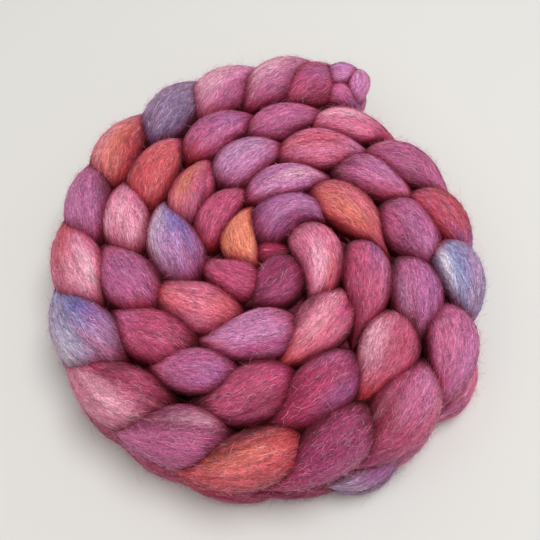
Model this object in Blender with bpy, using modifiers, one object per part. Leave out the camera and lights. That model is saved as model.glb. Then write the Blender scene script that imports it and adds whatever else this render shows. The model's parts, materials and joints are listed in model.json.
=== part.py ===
"""Wool roving looped into a chain and coiled flat: one solid of its wound form and its folds.

The chain stands on its edge. Each link of it is a loop with two legs that spring close together from the
rim, about half way up. The upper leg swells, arches over the top of the chain and dives on the inner side.
The lower leg is the same fold mirrored about the middle of the height, and is pressed flat where it rests.

Units are metres and degrees, +Z is up, and the coil rests on Z = 0 with its box centred on the origin.
"""

import math

import bmesh
import bpy
from mathutils import Matrix, Vector

# Whole coil
NODE_NAME = "roving"
COLLECTION_NAME = "Wool roving coil"
PRESS_DEPTH = 0.0025        # how far the lower legs are pressed flat on the surface

# Shape of one leg, from its pointed start (-1) to its inner end (+1)
START_HEIGHT_SHARE = 0.60   # height of the leg's middle where it springs from the rim, of its top
END_HEIGHT_SHARE = 0.32     # the same where it dives on the inner side
TAPER = 0.95                # larger is more pointed
START_TUCK = 0.005          # the start is tucked in under the link before it
START_REACH = 0.004         # and reaches this much further back
THICKNESS_SHARE = 0.85      # thickness of a leg beside its width
LOWER_SPREAD = 0.0015       # the lower legs bulge outwards by this much more

# Facets of one leg before it joins the skin
LEG_SIDES = 24
LEG_RINGS = 18
STEP = 0.01                 # a short way along the leg, to read its direction
POLE = 1e-6                 # closer to the leg's middle line than this is its tip
SHARP_ANGLE = 60.0

# One row for each link, from the outer end of the chain to the middle of the coil. The first three rows
# are the short folds that close the chain's end, the last three are low: two short folds squeezed out
# between links of the outer turn, and one that wraps the chain's end.
#   at      direction of the link's middle, seen from the middle of the coil, degrees
#   radius  distance of the link's middle from the middle of the coil
#   slant   turn of the fold from the coil's own direction towards the middle, degrees
#   length  from the pointed start to the inner end
#   width   across the fold at its fullest
#   bow     sideways bend, outwards
#   top     height of the crest over the surface
#   full    where the fold is fullest, from -1 at its start to 1 at its end
COLUMNS = ("at", "radius", "slant", "length", "width", "bow", "top", "full")
LINKS = (
    (64, 0.114, 111, 0.029, 0.014, -0.009, 0.040, 0.00),
    (69.5, 0.115, 13, 0.020, 0.021, 0.000, 0.041, 0.00),
    (68, 0.105, 4, 0.020, 0.021, 0.000, 0.038, 0.00),
    (78, 0.103, 50, 0.048, 0.033, 0.000, 0.043, -0.10),
    (87, 0.105, 42, 0.060, 0.031, 0.000, 0.044, 0.16),
    (104, 0.102, 38, 0.057, 0.029, 0.001, 0.044, 0.20),
    (121, 0.099, 30, 0.062, 0.029, 0.001, 0.044, 0.24),
    (143, 0.097, 22, 0.062, 0.027, 0.002, 0.044, 0.28),
    (164, 0.0935, 22, 0.062, 0.025, 0.003, 0.044, 0.30),
    (186, 0.0925, 18, 0.064, 0.028, 0.003, 0.044, 0.30),
    (209, 0.096, 14, 0.062, 0.031, 0.005, 0.045, 0.24),
    (229, 0.100, 17, 0.062, 0.029, 0.006, 0.045, 0.20),
    (247, 0.102, 17, 0.062, 0.027, 0.003, 0.044, 0.20),
    (266, 0.104, 21, 0.062, 0.025, 0.005, 0.044, 0.12),
    (285, 0.102, 25, 0.062, 0.026, 0.003, 0.044, 0.20),
    (305, 0.101, 22, 0.062, 0.030, 0.005, 0.044, 0.16),
    (326, 0.099, 26, 0.056, 0.026, 0.005, 0.044, 0.20),
    (349, 0.092, 22, 0.051, 0.026, 0.001, 0.043, 0.16),
    (10, 0.087, 28, 0.047, 0.027, -0.001, 0.043, 0.16),
    (33, 0.085, 26, 0.053, 0.027, -0.001, 0.043, 0.16),
    (60, 0.084, 26, 0.051, 0.025, -0.001, 0.042, 0.12),
    (83, 0.076, 27, 0.052, 0.025, -0.002, 0.043, 0.16),
    (112, 0.072, 20, 0.052, 0.027, -0.001, 0.044, 0.16),
    (142, 0.073, 22, 0.058, 0.028, 0.002, 0.044, 0.30),
    (167, 0.073, 22, 0.053, 0.026, 0.003, 0.044, 0.30),
    (196, 0.070, 23, 0.052, 0.029, 0.002, 0.044, 0.20),
    (223, 0.072, 21, 0.052, 0.028, 0.004, 0.045, 0.20),
    (244, 0.074, 24, 0.051, 0.023, 0.005, 0.044, 0.16),
    (263, 0.078, 31, 0.056, 0.028, 0.005, 0.045, 0.20),
    (286, 0.079, 27, 0.060, 0.028, 0.004, 0.045, 0.16),
    (312, 0.079, 22, 0.058, 0.028, 0.004, 0.045, 0.16),
    (337, 0.075, 26, 0.057, 0.027, 0.001, 0.044, 0.16),
    (5, 0.071, 26, 0.048, 0.030, 0.000, 0.044, 0.16),
    (35, 0.065, 33, 0.050, 0.028, -0.001, 0.044, 0.16),
    (64, 0.062, 32, 0.055, 0.027, -0.001, 0.044, 0.12),
    (102, 0.051, 28, 0.052, 0.028, -0.001, 0.044, 0.20),
    (142, 0.048, 30, 0.052, 0.024, 0.003, 0.044, 0.24),
    (178, 0.047, 21, 0.058, 0.029, 0.003, 0.045, 0.30),
    (226, 0.048, 23, 0.052, 0.028, 0.004, 0.044, 0.16),
    (262, 0.051, 21, 0.058, 0.026, 0.005, 0.045, 0.20),
    (298, 0.051, 24, 0.057, 0.025, 0.003, 0.045, 0.20),
    (334, 0.051, 23, 0.060, 0.025, 0.001, 0.045, 0.16),
    (24, 0.044, 24, 0.057, 0.027, 0.000, 0.045, 0.20),
    (76, 0.035, 34, 0.055, 0.022, 0.000, 0.044, 0.16),
    (148, 0.029, 5, 0.050, 0.020, 0.003, 0.043, 0.16),
    (231, 0.027, 18, 0.038, 0.021, 0.007, 0.043, 0.16),
    (279, 0.023, 38, 0.038, 0.026, 0.006, 0.043, 0.16),
    (336, 0.027, 34, 0.056, 0.025, 0.009, 0.046, 0.25),
    (49, 0.024, 43, 0.054, 0.026, 0.021, 0.045, 0.50),
    (173, 0.015, 12, 0.046, 0.018, 0.014, 0.042, 0.16),
    (290, 0.006, 160, 0.032, 0.020, 0.002, 0.036, 0.10),
    (295, 0.107, 25, 0.040, 0.024, 0.000, 0.028, 0.00),
    (325, 0.104, 25, 0.040, 0.024, 0.000, 0.028, 0.00),
    (66, 0.112, 109, 0.031, 0.022, -0.009, 0.031, 0.00),
)

# The chain's inner loops fill it between the upper and the lower legs, half way up. The two folds that
# wrap the chain's end, by their rows in the table, have none.
END_WRAPS = (1, 54)
INNER_LENGTH_SHARE = 0.42   # half length of one inner loop, as a share of its link's length
INNER_WIDTH_SHARE = 0.42
INNER_THICKNESS = 0.012
INNER_OFFSET = -0.002       # inwards of its link's middle
INNER_SIDES = 16
INNER_RINGS = 8

# Where the turns press on each other the inner loops meet in a felted middle
MIDDLE_RADIUS = 0.084
MIDDLE_LOW = 0.012
MIDDLE_HIGH = 0.028
MIDDLE_SIDES = 48

# One skin over all the folds
SKIN_GRID = 0.0018          # the folds are felted together at this fineness
SKIN_KEEP = 0.085           # share of the fine skin's faces that is kept

WOOL_COLOUR = (0.45, 0.13, 0.20, 1.0)
WOOL_ROUGHNESS = 0.9


def clear_scene():
    for old in list(bpy.data.objects):
        bpy.data.objects.remove(old, do_unlink=True)


def wool_material():
    material = bpy.data.materials.new("dyed wool")
    material.use_nodes = True
    shader = material.node_tree.nodes["Principled BSDF"]
    shader.inputs["Base Color"].default_value = WOOL_COLOUR
    shader.inputs["Roughness"].default_value = WOOL_ROUGHNESS
    shader.inputs["Metallic"].default_value = 0.0
    return material


def link_place(link):
    """Middle of a link in plan, and the directions along and out of the fold."""
    at = math.radians(link["at"])
    heading = at + math.radians(90.0 + link["slant"])
    forward = Vector((math.cos(heading), math.sin(heading)))
    outward = Vector((forward.y, -forward.x))
    return Vector((math.cos(at), math.sin(at))) * link["radius"], forward, outward


def taper(link, along):
    """Share of the full width at a place along the leg, 1 where it is fullest."""
    to_start = 1.0 + link["full"]
    to_end = 1.0 - link["full"]
    return (((1.0 + along) / to_start) ** to_start * ((1.0 - along) / to_end) ** to_end) ** TAPER


def leg_middle(link, along, spread):
    """Point on the middle line of an upper leg, along from -1 at its start to 1 at its end."""
    place, forward, outward = link_place(link)
    arch = 1.0 - along * along
    bow = link["bow"] + (START_TUCK if along < 0.0 else 0.0)
    reach = link["length"] / 2.0 + (START_REACH if along < 0.0 else 0.0)
    place += forward * (along * reach) + outward * (spread * arch - bow * along * along)
    crest = link["top"] - link["width"] * THICKNESS_SHARE / 2.0
    foot_share = START_HEIGHT_SHARE + (END_HEIGHT_SHARE - START_HEIGHT_SHARE) * (along + 1.0) / 2.0
    foot = link["top"] * foot_share
    return Vector((place.x, place.y, foot + (crest - foot) * arch))


def shape_leg(points, link, spread):
    """Turn a unit sphere, poles on Z, into an upper leg."""
    for point in points:
        along = max(-1.0, min(1.0, point.co.z))
        middle = leg_middle(link, along, spread)
        ahead = leg_middle(link, along + STEP, spread) - leg_middle(link, along - STEP, spread)
        side = ahead.cross(Vector((0.0, 0.0, 1.0))).normalized()
        up = side.cross(ahead).normalized()
        ring = Vector((point.co.x, point.co.y))
        if ring.length > POLE:
            ring *= link["width"] / 2.0 * taper(link, along) / ring.length
        point.co = middle + side * ring.x + up * (ring.y * THICKNESS_SHARE)


def leg_body(link, spread):
    """One upper leg as a closed body."""
    leg = bmesh.new()
    bmesh.ops.create_uvsphere(leg, u_segments=LEG_SIDES, v_segments=LEG_RINGS, radius=1.0)
    shape_leg(leg.verts, link, spread)
    return leg


def mirrored_down(leg, link):
    """The same body mirrored about the middle of the chain's height there."""
    mirror = (Matrix.Translation((0.0, 0.0, link["top"] - PRESS_DEPTH))
              @ Matrix.Scale(-1.0, 4, (0.0, 0.0, 1.0)))
    bmesh.ops.transform(leg, matrix=mirror, verts=leg.verts)
    bmesh.ops.reverse_faces(leg, faces=leg.faces)
    return leg


def inner_loop_body(link):
    place, forward, outward = link_place(link)
    place = place + outward * INNER_OFFSET
    size = Matrix.Diagonal((link["length"] * INNER_LENGTH_SHARE, link["width"] * INNER_WIDTH_SHARE,
                            INNER_THICKNESS, 1.0))
    turn = Matrix.Rotation(math.atan2(forward.y, forward.x), 4, "Z")
    lift = Matrix.Translation((place.x, place.y, (link["top"] - PRESS_DEPTH) / 2.0))
    loop = bmesh.new()
    bmesh.ops.create_uvsphere(loop, u_segments=INNER_SIDES, v_segments=INNER_RINGS, radius=1.0,
                              matrix=lift @ turn @ size)
    return loop


def middle_body():
    lift = Matrix.Translation((0.0, 0.0, (MIDDLE_LOW + MIDDLE_HIGH) / 2.0))
    middle = bmesh.new()
    bmesh.ops.create_cone(middle, cap_ends=True, segments=MIDDLE_SIDES, radius1=MIDDLE_RADIUS,
                          radius2=MIDDLE_RADIUS, depth=MIDDLE_HIGH - MIDDLE_LOW, matrix=lift)
    return middle


def folds_object():
    """Every fold of the coil in one object, each still a body of its own."""
    bodies = [middle_body()]
    for number, row in enumerate(LINKS, 1):
        link = dict(zip(COLUMNS, row))
        bodies.append(leg_body(link, 0.0))
        bodies.append(mirrored_down(leg_body(link, LOWER_SPREAD), link))
        if number not in END_WRAPS:
            bodies.append(inner_loop_body(link))
    folds = bmesh.new()
    one = bpy.data.meshes.new("fold")
    for body in bodies:
        body.to_mesh(one)
        folds.from_mesh(one)
        body.free()
    bpy.data.meshes.remove(one)
    mesh = bpy.data.meshes.new("folds")
    folds.to_mesh(mesh)
    folds.free()
    return bpy.data.objects.new("folds", mesh)


def skin_of(folds):
    """One closed skin around all the folds, as a new mesh."""
    felt = folds.modifiers.new("felt", "REMESH")
    felt.mode = "VOXEL"
    felt.voxel_size = SKIN_GRID
    felt.adaptivity = 0.0
    thin = folds.modifiers.new("thin", "DECIMATE")
    thin.decimate_type = "COLLAPSE"
    thin.ratio = SKIN_KEEP
    thin.use_collapse_triangulate = True
    evaluated = folds.evaluated_get(bpy.context.evaluated_depsgraph_get())
    return bpy.data.meshes.new_from_object(evaluated)


def island_of(face):
    """All faces joined to this one through shared edges."""
    island = {face}
    edge_of_island = [face]
    while edge_of_island:
        current = edge_of_island.pop()
        for edge in current.edges:
            for neighbour in edge.link_faces:
                if neighbour not in island:
                    island.add(neighbour)
                    edge_of_island.append(neighbour)
    return island


def drop_sealed_pockets(mesh):
    """Keep the outer skin alone: air shut in between the folds is wool in the real coil."""
    skin = bmesh.new()
    skin.from_mesh(mesh)
    skin.verts.ensure_lookup_table()
    outermost = max(skin.verts, key=lambda point: point.co.length)
    outer = island_of(outermost.link_faces[0])
    pockets = [face for face in skin.faces if face not in outer]
    inside = {point for face in pockets for point in face.verts}
    bmesh.ops.delete(skin, geom=list(inside), context="VERTS")
    skin.to_mesh(mesh)
    skin.free()


def centre_on_origin(mesh):
    """Move the middle of the coil's box, seen from above, onto the origin."""
    lowest = [min(point.co[axis] for point in mesh.vertices) for axis in range(2)]
    highest = [max(point.co[axis] for point in mesh.vertices) for axis in range(2)]
    middle = [(low + high) / 2.0 for low, high in zip(lowest, highest)]
    mesh.transform(Matrix.Translation((-middle[0], -middle[1], 0.0)))


def press_flat(mesh):
    """The coil's weight flattens it where it rests: nothing reaches below the surface."""
    for point in mesh.vertices:
        point.co.z = max(point.co.z, 0.0)


def make_roving(collection):
    folds = folds_object()
    collection.objects.link(folds)
    mesh = skin_of(folds)
    bpy.data.objects.remove(folds, do_unlink=True)
    drop_sealed_pockets(mesh)
    press_flat(mesh)
    centre_on_origin(mesh)
    mesh.name = NODE_NAME
    mesh.materials.clear()
    mesh.materials.append(wool_material())
    mesh.shade_smooth()
    mesh.set_sharp_from_angle(angle=math.radians(SHARP_ANGLE))
    roving = bpy.data.objects.new(NODE_NAME, mesh)
    collection.objects.link(roving)
    return roving


def main():
    clear_scene()
    collection = bpy.data.collections.new(COLLECTION_NAME)
    bpy.context.scene.collection.children.link(collection)
    make_roving(collection)


if __name__ == "__main__":
    main()
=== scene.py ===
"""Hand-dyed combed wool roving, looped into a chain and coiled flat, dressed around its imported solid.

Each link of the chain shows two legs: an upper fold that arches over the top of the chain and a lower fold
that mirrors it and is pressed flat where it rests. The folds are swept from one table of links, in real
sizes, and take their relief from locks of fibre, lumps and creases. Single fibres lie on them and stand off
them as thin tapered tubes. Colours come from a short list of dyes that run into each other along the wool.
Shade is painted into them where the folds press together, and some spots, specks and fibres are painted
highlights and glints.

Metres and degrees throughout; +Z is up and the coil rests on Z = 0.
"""

import json
import math

import bpy
import numpy as np
from bpy.props import FloatProperty, FloatVectorProperty, IntProperty, PointerProperty
from bpy.types import Operator, Panel, PropertyGroup
from mathutils import Color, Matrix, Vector
from mathutils.bvhtree import BVHTree

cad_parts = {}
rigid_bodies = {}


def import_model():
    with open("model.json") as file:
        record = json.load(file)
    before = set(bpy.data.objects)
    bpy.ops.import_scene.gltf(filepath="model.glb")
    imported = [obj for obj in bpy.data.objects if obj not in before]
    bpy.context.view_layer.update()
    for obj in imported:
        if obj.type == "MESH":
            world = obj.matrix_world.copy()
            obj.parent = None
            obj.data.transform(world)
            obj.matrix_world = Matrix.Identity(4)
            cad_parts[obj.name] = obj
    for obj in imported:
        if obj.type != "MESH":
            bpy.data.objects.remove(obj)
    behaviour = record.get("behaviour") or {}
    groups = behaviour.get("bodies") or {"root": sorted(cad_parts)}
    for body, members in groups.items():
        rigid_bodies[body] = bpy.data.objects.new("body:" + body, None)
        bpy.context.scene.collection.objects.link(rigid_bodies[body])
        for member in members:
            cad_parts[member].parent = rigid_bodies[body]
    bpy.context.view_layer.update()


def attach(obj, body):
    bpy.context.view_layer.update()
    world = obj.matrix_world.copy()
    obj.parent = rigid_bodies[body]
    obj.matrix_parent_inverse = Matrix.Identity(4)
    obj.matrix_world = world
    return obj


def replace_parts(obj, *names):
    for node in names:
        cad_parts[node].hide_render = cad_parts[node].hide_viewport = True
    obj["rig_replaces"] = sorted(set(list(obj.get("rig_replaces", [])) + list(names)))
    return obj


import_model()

bl_info = {
    "name": "Coiled wool roving",
    "version": (1, 0, 0),
    "blender": (4, 5, 0),
    "location": "3D View > Sidebar > Roving",
    "description": "Makes a dyed wool roving, chained and coiled flat, with loose fibres and a plain studio",
    "category": "Add Mesh",
}

BODY = "root"
CAD_NODE = "roving"

# Shape of one fold, from its pointed start (-1) to its inner end (+1)
START_HEIGHT_SHARE = 0.60
END_HEIGHT_SHARE = 0.32
TAPER = 0.95
START_TUCK = 0.005
START_REACH = 0.004
THICKNESS_SHARE = 0.85
LOWER_SPREAD = 0.0015
PRESS_DEPTH = 0.0025
STEP = 0.01                  # along the fold, between the places that give its direction
TIP_FADE = 2.0               # how fast the relief grows from a fold's tips
LOWER_FACETS = (3, 5)        # a lower fold has 3 facets for 5 of an upper one

# One row for each link, from the outer end of the chain to the middle of the coil. The first three rows
# are the short folds that close the chain's end, the last three are low: two short folds squeezed out
# between links of the outer turn, and one that wraps the chain's end.
#   at      direction of the link's middle, seen from the middle of the coil, degrees
#   radius  distance of the link's middle from the middle of the coil
#   slant   turn of the fold from the coil's own direction towards the middle, degrees
#   length  from the pointed start to the inner end
#   width   across the fold at its fullest
#   bow     sideways bend, outwards
#   top     height of the crest over the surface
#   full    where the fold is fullest, from -1 at its start to 1 at its end
#   start, body, end   dyes at the pointed start, over the middle and at the inner end
#   under   dye of the lower fold
LINK_COLUMNS = ("at", "radius", "slant", "length", "width", "bow", "top", "full",
                "start", "body", "end", "under")
LINKS = (
    (64, 0.114, 111, 0.029, 0.014, -0.009, 0.040, 0.00, "mauve", "lilac", "mauve", "plum"),
    (69.5, 0.115, 13, 0.020, 0.021, 0.000, 0.041, 0.00, "mauve", "lilac", "violet", "plum"),
    (68, 0.105, 4, 0.020, 0.021, 0.000, 0.038, 0.00, "violet", "mauve", "plum", "plum"),
    (78, 0.103, 50, 0.048, 0.033, 0.000, 0.043, -0.10, "mauve", "rose", "wine", "rose"),
    (87, 0.105, 42, 0.060, 0.031, 0.000, 0.044, 0.16, "mauve", "mauve", "raspberry", "mauve"),
    (104, 0.102, 38, 0.057, 0.029, 0.001, 0.044, 0.20, "lilac", "mauve", "pink", "mauve"),
    (121, 0.099, 30, 0.062, 0.029, 0.001, 0.044, 0.24, "slate", "slate", "dusk", "slate"),
    (143, 0.097, 22, 0.062, 0.027, 0.002, 0.044, 0.28, "mauve", "coral", "brick", "brick"),
    (164, 0.0935, 22, 0.062, 0.025, 0.003, 0.044, 0.30, "plum", "mauve", "plum", "plum"),
    (186, 0.0925, 18, 0.064, 0.028, 0.003, 0.044, 0.30, "brick", "pink", "rose", "rose"),
    (209, 0.096, 14, 0.062, 0.031, 0.005, 0.045, 0.24, "sky", "slate", "raspberry", "slate"),
    (229, 0.100, 17, 0.062, 0.029, 0.006, 0.045, 0.20, "pink", "rose", "wine", "rose"),
    (247, 0.102, 17, 0.062, 0.027, 0.003, 0.044, 0.20, "mauve", "mauve", "wine", "rose"),
    (266, 0.104, 21, 0.062, 0.025, 0.005, 0.044, 0.12, "brick", "coral", "brick", "raspberry"),
    (285, 0.102, 25, 0.062, 0.026, 0.003, 0.044, 0.20, "raspberry", "plum", "wine", "plum"),
    (305, 0.101, 22, 0.062, 0.030, 0.005, 0.044, 0.16, "plum", "rose", "wine", "mauve"),
    (326, 0.099, 26, 0.056, 0.026, 0.005, 0.044, 0.20, "raspberry", "mauve", "mauve", "mauve"),
    (349, 0.092, 22, 0.051, 0.026, 0.001, 0.043, 0.16, "dusk", "sky", "lilac", "slate"),
    (10, 0.087, 28, 0.047, 0.027, -0.001, 0.043, 0.16, "violet", "brick", "pink", "brick"),
    (33, 0.085, 26, 0.053, 0.027, -0.001, 0.043, 0.16, "mauve", "mauve", "pink", "mauve"),
    (60, 0.084, 26, 0.051, 0.025, -0.001, 0.042, 0.12, "rose", "pink", "pink", "rose"),
    (83, 0.076, 27, 0.052, 0.025, -0.002, 0.043, 0.16, "rose", "mauve", "pink", "plum"),
    (112, 0.072, 20, 0.052, 0.027, -0.001, 0.044, 0.16, "magenta", "mauve", "brick", "plum"),
    (142, 0.073, 22, 0.058, 0.028, 0.002, 0.044, 0.30, "pink", "coral", "coral", "brick"),
    (167, 0.073, 22, 0.053, 0.026, 0.003, 0.044, 0.30, "mauve", "pink", "pink", "rose"),
    (196, 0.070, 23, 0.052, 0.029, 0.002, 0.044, 0.20, "rose", "mauve", "brick", "plum"),
    (223, 0.072, 21, 0.052, 0.028, 0.004, 0.045, 0.20, "mauve", "rose", "wine", "plum"),
    (244, 0.074, 24, 0.051, 0.023, 0.005, 0.044, 0.16, "pink", "mauve", "mauve", "plum"),
    (263, 0.078, 31, 0.056, 0.028, 0.005, 0.045, 0.20, "wine", "rose", "magenta", "brick"),
    (286, 0.079, 27, 0.060, 0.028, 0.004, 0.045, 0.16, "raspberry", "raspberry", "mauve", "plum"),
    (312, 0.079, 22, 0.058, 0.028, 0.004, 0.045, 0.16, "brick", "rose", "pink", "rose"),
    (337, 0.075, 26, 0.057, 0.027, 0.001, 0.044, 0.16, "wine", "mauve", "wine", "plum"),
    (5, 0.071, 26, 0.048, 0.030, 0.000, 0.044, 0.16, "plum", "mauve", "wine", "plum"),
    (35, 0.065, 33, 0.050, 0.028, -0.001, 0.044, 0.16, "pink", "mauve", "wine", "rose"),
    (64, 0.062, 32, 0.055, 0.027, -0.001, 0.044, 0.12, "lilac", "pink", "pink", "rose"),
    (102, 0.051, 28, 0.052, 0.028, -0.001, 0.044, 0.20, "magenta", "lilac", "plum", "plum"),
    (142, 0.048, 30, 0.052, 0.024, 0.003, 0.044, 0.24, "rose", "rose", "lilac", "brick"),
    (178, 0.047, 21, 0.058, 0.029, 0.003, 0.045, 0.30, "sky", "lilac", "mauve", "plum"),
    (226, 0.048, 23, 0.052, 0.028, 0.004, 0.044, 0.16, "coral", "pink", "brick", "rose"),
    (262, 0.051, 21, 0.058, 0.026, 0.005, 0.045, 0.20, "pink", "lilac", "pink", "plum"),
    (298, 0.051, 24, 0.057, 0.025, 0.003, 0.045, 0.20, "coral", "pink", "pink", "rose"),
    (334, 0.051, 23, 0.060, 0.025, 0.001, 0.045, 0.16, "rose", "rose", "mauve", "plum"),
    (24, 0.044, 24, 0.057, 0.027, 0.000, 0.045, 0.20, "coral", "coral", "rose", "brick"),
    (76, 0.035, 34, 0.055, 0.022, 0.000, 0.044, 0.16, "mauve", "lilac", "rose", "plum"),
    (148, 0.029, 5, 0.050, 0.020, 0.003, 0.043, 0.16, "rose", "rose", "brick", "wine"),
    (231, 0.027, 18, 0.038, 0.021, 0.007, 0.043, 0.16, "raspberry", "rose", "wine", "wine"),
    (279, 0.023, 38, 0.038, 0.026, 0.006, 0.043, 0.16, "wine", "plum", "wine", "wine"),
    (336, 0.027, 34, 0.056, 0.025, 0.009, 0.046, 0.25, "raspberry", "pink", "wine", "rose"),
    (49, 0.024, 43, 0.054, 0.026, 0.021, 0.045, 0.50, "mauve", "violet", "plum", "plum"),
    (173, 0.015, 12, 0.046, 0.018, 0.014, 0.042, 0.16, "orange", "orange", "coral", "brick"),
    (290, 0.006, 160, 0.032, 0.020, 0.002, 0.036, 0.10, "wine", "raspberry", "wine", "wine"),
    (295, 0.107, 25, 0.040, 0.024, 0.000, 0.028, 0.00, "slate", "violet", "slate", "dusk"),
    (325, 0.104, 25, 0.040, 0.024, 0.000, 0.028, 0.00, "mauve", "pink", "rose", "rose"),
    (66, 0.112, 109, 0.031, 0.022, -0.009, 0.031, 0.00, "plum", "mauve", "plum", "mauve"),
)
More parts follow.
